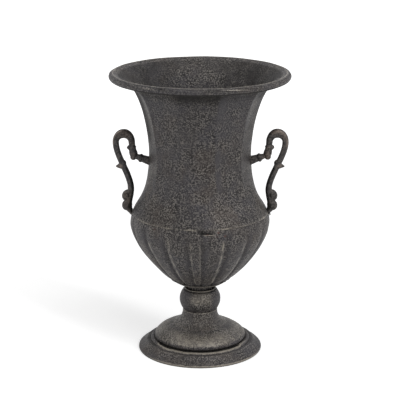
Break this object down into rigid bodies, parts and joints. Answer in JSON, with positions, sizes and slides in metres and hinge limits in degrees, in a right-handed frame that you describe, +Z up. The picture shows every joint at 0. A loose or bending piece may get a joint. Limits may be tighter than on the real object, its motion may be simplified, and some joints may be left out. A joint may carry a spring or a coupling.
{
  "type": "pedestal urn",
  "caption": "Tall pedestal urn of dark sheet metal with a flared panelled neck, fluted bowl, ball knop, domed round foot and cast scroll handles.",
  "frame": {"origin": "centre of the base on the floor", "axes": "+Z up, handles along +X and -X, the bowl's lap joint towards -Y, the front"},
  "size_m": [0.2858, 0.2858, 0.4568],
  "materials": {
    "iron_sheet": "dark charcoal paint rubbed to a fine pale grey and beige speckle",
    "cast_handle": "rough dark brown-black casting with rubbed coppery edges",
    "steel_wire": "plain drawn wire",
    "zinc_steel": "dull zinc plating",
    "seal_rubber": "matt black rubber"
  },
  "bodies": {
    "root": {"rim_flare": "iron_sheet", "rim_wire": "steel_wire", "neck_upper": "iron_sheet", "neck_lower": "iron_sheet", "bowl_shell": "iron_sheet", "bowl_dish": "iron_sheet", "bowl_spigot": "iron_sheet", "knop": "iron_sheet", "foot_flare": "iron_sheet", "foot_dome": "iron_sheet", "base_ring": "iron_sheet", "handle_left": "cast_handle", "handle_right": "cast_handle", "stem_bolt": "zinc_steel", "bowl_washer": "zinc_steel", "bowl_seal": "seal_rubber", "foot_washer": "zinc_steel", "stem_nut": "zinc_steel", "handle_screws_upper": "zinc_steel", "handle_screws_lower": "zinc_steel", "handle_washers": "zinc_steel"}
  },
  "joints": []
}
